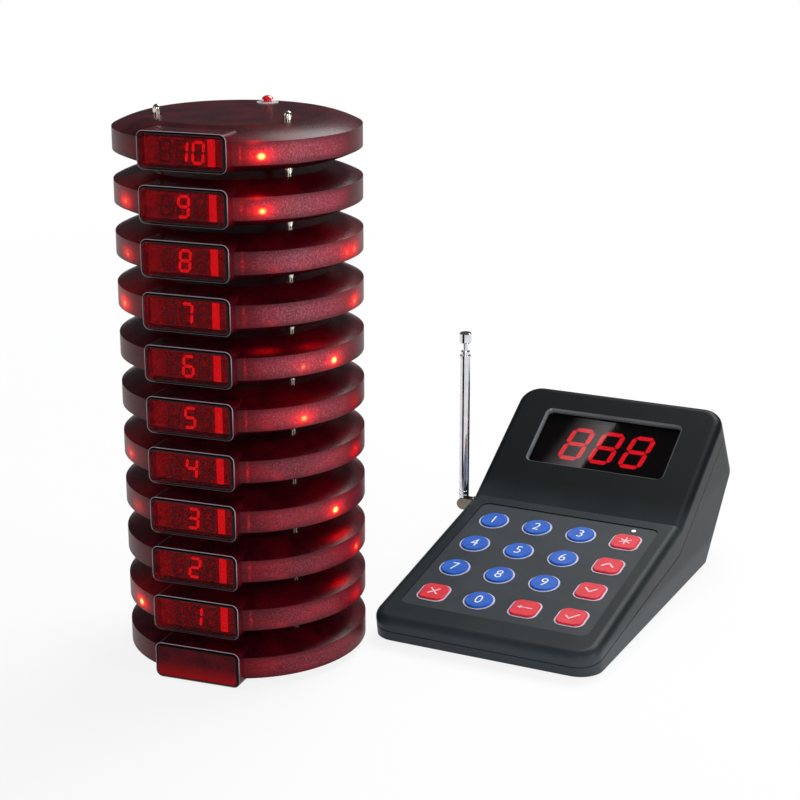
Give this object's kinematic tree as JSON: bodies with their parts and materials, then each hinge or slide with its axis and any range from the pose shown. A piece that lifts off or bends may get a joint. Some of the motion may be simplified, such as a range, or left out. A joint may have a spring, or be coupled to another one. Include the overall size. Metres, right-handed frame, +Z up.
{
  "type": "guest pager system",
  "caption": "Stack of round guest pagers with number windows on a charging base, and a keypad transmitter with a display and telescopic antenna.",
  "frame": {"origin": "centre of the charging base underside, on the counter", "axes": "+Z up through the stack, fronts of the pagers and of the transmitter face -Y"},
  "size_m": [0.2313, 0.2663, 0.2412],
  "materials": {
    "burgundy_cover": "smoked",
    "burgundy_lower": "smoked",
    "red_button": "moulded",
    "charging_board": "lacquered",
    "housing": "fine texture",
    "housing_lower": "fine texture",
    "panel": "satin",
    "display_glass": "polished",
    "display_works": "moulded",
    "circuit_board": "lacquered",
    "foot_rubber": "matt",
    "antenna_metal": "polished",
    "blue_key": "satin",
    "red_key": "satin"
  },
  "bodies": {
    "base": {"base_cover": "burgundy_cover", "base_tub": "burgundy_lower", "base_charging_board": "charging_board"},
    "pager_01": {"pager_01_cover": "burgundy_cover", "pager_01_lower_shell_and_board": "burgundy_lower"},
    "pager_01_button": {"pager_01_button": "red_button"},
    "pager_02": {"pager_02_cover": "burgundy_cover", "pager_02_lower_shell_and_board": "burgundy_lower"},
    "pager_02_button": {"pager_02_button": "red_button"},
    "pager_03": {"pager_03_cover": "burgundy_cover", "pager_03_lower_shell_and_board": "burgundy_lower"},
    "pager_03_button": {"pager_03_button": "red_button"},
    "pager_04": {"pager_04_cover": "burgundy_cover", "pager_04_lower_shell_and_board": "burgundy_lower"},
    "pager_04_button": {"pager_04_button": "red_button"},
    "pager_05": {"pager_05_cover": "burgundy_cover", "pager_05_lower_shell_and_board": "burgundy_lower"},
    "pager_05_button": {"pager_05_button": "red_button"},
    "pager_06": {"pager_06_cover": "burgundy_cover", "pager_06_lower_shell_and_board": "burgundy_lower"},
    "pager_06_button": {"pager_06_button": "red_button"},
    "pager_07": {"pager_07_cover": "burgundy_cover", "pager_07_lower_shell_and_board": "burgundy_lower"},
    "pager_07_button": {"pager_07_button": "red_button"},
    "pager_08": {"pager_08_cover": "burgundy_cover", "pager_08_lower_shell_and_board": "burgundy_lower"},
    "pager_08_button": {"pager_08_button": "red_button"},
    "pager_09": {"pager_09_cover": "burgundy_cover", "pager_09_lower_shell_and_board": "burgundy_lower"},
    "pager_09_button": {"pager_09_button": "red_button"},
    "pager_10": {"pager_10_cover": "burgundy_cover", "pager_10_lower_shell_and_board": "burgundy_lower"},
    "pager_10_button": {"pager_10_button": "red_button"},
    "transmitter": {"transmitter_upper_shell": "housing", "transmitter_lower_shell": "housing_lower", "keypad_panel": "panel", "display_window": "display_glass", "display_module": "display_works", "transmitter_circuit_board": "circuit_board", "transmitter_feet": "foot_rubber"},
    "key_1": {"key_1": "blue_key"},
    "key_2": {"key_2": "blue_key"},
    "key_3": {"key_3": "blue_key"},
    "key_function": {"key_function": "red_key"},
    "key_4": {"key_4": "blue_key"},
    "key_5": {"key_5": "blue_key"},
    "key_6": {"key_6": "blue_key"},
    "key_up": {"key_up": "red_key"},
    "key_7": {"key_7": "blue_key"},
    "key_8": {"key_8": "blue_key"},
    "key_9": {"key_9": "blue_key"},
    "key_down": {"key_down": "red_key"},
    "key_cancel": {"key_cancel": "red_key"},
    "key_0": {"key_0": "blue_key"},
    "key_back": {"key_back": "red_key"},
    "key_enter": {"key_enter": "red_key"},
    "antenna_swivel": {"antenna_swivel": "antenna_metal"},
    "antenna_outer_tube": {"antenna_outer_tube": "antenna_metal"},
    "antenna_middle_tube": {"antenna_middle_tube": "antenna_metal"},
    "antenna_tip_rod": {"antenna_tip_rod": "antenna_metal"}
  },
  "joints": [
    {"name": "pager_01_lift", "type": "slide", "parent": "base", "child": "pager_01", "axis": [0, 0, 1], "range_m": [0, 0.03]},
    {"name": "pager_01_press", "type": "slide", "parent": "pager_01", "child": "pager_01_button", "axis": [0, 0, -1], "range_m": [0, 0.001], "stiffness_N_per_m": 300},
    {"name": "pager_02_lift", "type": "slide", "parent": "pager_01", "child": "pager_02", "axis": [0, 0, 1], "range_m": [0, 0.03]},
    {"name": "pager_02_press", "type": "slide", "parent": "pager_02", "child": "pager_02_button", "axis": [0, 0, -1], "range_m": [0, 0.001], "stiffness_N_per_m": 300},
    {"name": "pager_03_lift", "type": "slide", "parent": "pager_02", "child": "pager_03", "axis": [0, 0, 1], "range_m": [0, 0.03]},
    {"name": "pager_03_press", "type": "slide", "parent": "pager_03", "child": "pager_03_button", "axis": [0, 0, -1], "range_m": [0, 0.001], "stiffness_N_per_m": 300},
    {"name": "pager_04_lift", "type": "slide", "parent": "pager_03", "child": "pager_04", "axis": [0, 0, 1], "range_m": [0, 0.03]},
    {"name": "pager_04_press", "type": "slide", "parent": "pager_04", "child": "pager_04_button", "axis": [0, 0, -1], "range_m": [0, 0.001], "stiffness_N_per_m": 300},
    {"name": "pager_05_lift", "type": "slide", "parent": "pager_04", "child": "pager_05", "axis": [0, 0, 1], "range_m": [0, 0.03]},
    {"name": "pager_05_press", "type": "slide", "parent": "pager_05", "child": "pager_05_button", "axis": [0, 0, -1], "range_m": [0, 0.001], "stiffness_N_per_m": 300},
    {"name": "pager_06_lift", "type": "slide", "parent": "pager_05", "child": "pager_06", "axis": [0, 0, 1], "range_m": [0, 0.03]},
    {"name": "pager_06_press", "type": "slide", "parent": "pager_06", "child": "pager_06_button", "axis": [0, 0, -1], "range_m": [0, 0.001], "stiffness_N_per_m": 300},
    {"name": "pager_07_lift", "type": "slide", "parent": "pager_06", "child": "pager_07", "axis": [0, 0, 1], "range_m": [0, 0.03]},
    {"name": "pager_07_press", "type": "slide", "parent": "pager_07", "child": "pager_07_button", "axis": [0, 0, -1], "range_m": [0, 0.001], "stiffness_N_per_m": 300},
    {"name": "pager_08_lift", "type": "slide", "parent": "pager_07", "child": "pager_08", "axis": [0, 0, 1], "range_m": [0, 0.03]},
    {"name": "pager_08_press", "type": "slide", "parent": "pager_08", "child": "pager_08_button", "axis": [0, 0, -1], "range_m": [0, 0.001], "stiffness_N_per_m": 300},
    {"name": "pager_09_lift", "type": "slide", "parent": "pager_08", "child": "pager_09", "axis": [0, 0, 1], "range_m": [0, 0.03]},
    {"name": "pager_09_press", "type": "slide", "parent": "pager_09", "child": "pager_09_button", "axis": [0, 0, -1], "range_m": [0, 0.001], "stiffness_N_per_m": 300},
    {"name": "pager_10_lift", "type": "slide", "parent": "pager_09", "child": "pager_10", "axis": [0, 0, 1], "range_m": [0, 0.03]},
    {"name": "pager_10_press", "type": "slide", "parent": "pager_10", "child": "pager_10_button", "axis": [0, 0, -1], "range_m": [0, 0.001], "stiffness_N_per_m": 300},
    {"name": "transmitter_lift", "type": "slide", "parent": "base", "child": "transmitter", "axis": [0, 0, 1], "range_m": [0, 0.03]},
    {"name": "key_1_press", "type": "slide", "parent": "transmitter", "child": "key_1", "axis": [0.019, 0.1812, -0.9833], "range_m": [0, 0.0008], "stiffness_N_per_m": 500},
    {"name": "key_2_press", "type": "slide", "parent": "transmitter", "child": "key_2", "axis": [0.019, 0.1812, -0.9833], "range_m": [0, 0.0008], "stiffness_N_per_m": 500},
    {"name": "key_3_press", "type": "slide", "parent": "transmitter", "child": "key_3", "axis": [0.019, 0.1812, -0.9833], "range_m": [0, 0.0008], "stiffness_N_per_m": 500},
    {"name": "key_function_press", "type": "slide", "parent": "transmitter", "child": "key_function", "axis": [0.019, 0.1812, -0.9833], "range_m": [0, 0.0008], "stiffness_N_per_m": 500},
    {"name": "key_4_press", "type": "slide", "parent": "transmitter", "child": "key_4", "axis": [0.019, 0.1812, -0.9833], "range_m": [0, 0.0008], "stiffness_N_per_m": 500},
    {"name": "key_5_press", "type": "slide", "parent": "transmitter", "child": "key_5", "axis": [0.019, 0.1812, -0.9833], "range_m": [0, 0.0008], "stiffness_N_per_m": 500},
    {"name": "key_6_press", "type": "slide", "parent": "transmitter", "child": "key_6", "axis": [0.019, 0.1812, -0.9833], "range_m": [0, 0.0008], "stiffness_N_per_m": 500},
    {"name": "key_up_press", "type": "slide", "parent": "transmitter", "child": "key_up", "axis": [0.019, 0.1812, -0.9833], "range_m": [0, 0.0008], "stiffness_N_per_m": 500},
    {"name": "key_7_press", "type": "slide", "parent": "transmitter", "child": "key_7", "axis": [0.019, 0.1812, -0.9833], "range_m": [0, 0.0008], "stiffness_N_per_m": 500},
    {"name": "key_8_press", "type": "slide", "parent": "transmitter", "child": "key_8", "axis": [0.019, 0.1812, -0.9833], "range_m": [0, 0.0008], "stiffness_N_per_m": 500},
    {"name": "key_9_press", "type": "slide", "parent": "transmitter", "child": "key_9", "axis": [0.019, 0.1812, -0.9833], "range_m": [0, 0.0008], "stiffness_N_per_m": 500},
    {"name": "key_down_press", "type": "slide", "parent": "transmitter", "child": "key_down", "axis": [0.019, 0.1812, -0.9833], "range_m": [0, 0.0008], "stiffness_N_per_m": 500},
    {"name": "key_cancel_press", "type": "slide", "parent": "transmitter", "child": "key_cancel", "axis": [0.019, 0.1812, -0.9833], "range_m": [0, 0.0008], "stiffness_N_per_m": 500},
    {"name": "key_0_press", "type": "slide", "parent": "transmitter", "child": "key_0", "axis": [0.019, 0.1812, -0.9833], "range_m": [0, 0.0008], "stiffness_N_per_m": 500},
    {"name": "key_back_press", "type": "slide", "parent": "transmitter", "child": "key_back", "axis": [0.019, 0.1812, -0.9833], "range_m": [0, 0.0008], "stiffness_N_per_m": 500},
    {"name": "key_enter_press", "type": "slide", "parent": "transmitter", "child": "key_enter", "axis": [0.019, 0.1812, -0.9833], "range_m": [0, 0.0008], "stiffness_N_per_m": 500},
    {"name": "antenna_swivel_turn", "type": "hinge", "parent": "transmitter", "child": "antenna_swivel", "pos_m": [0.05727, 0.13367, 0.02698], "axis": [-0.9945, 0.1045, 0], "range_deg": [-90, 90]},
    {"name": "antenna_elbow", "type": "hinge", "parent": "antenna_swivel", "child": "antenna_outer_tube", "pos_m": [0.05727, 0.13367, 0.02698], "axis": [-0.1045, -0.9945, 0], "range_deg": [0, 90]},
    {"name": "antenna_middle_slide", "type": "slide", "parent": "antenna_outer_tube", "child": "antenna_middle_tube", "axis": [0, 0, 1], "range_m": [0, 0.063]},
    {"name": "antenna_tip_slide", "type": "slide", "parent": "antenna_middle_tube", "child": "antenna_tip_rod", "axis": [0, 0, 1], "range_m": [0, 0.064]}
  ]
}
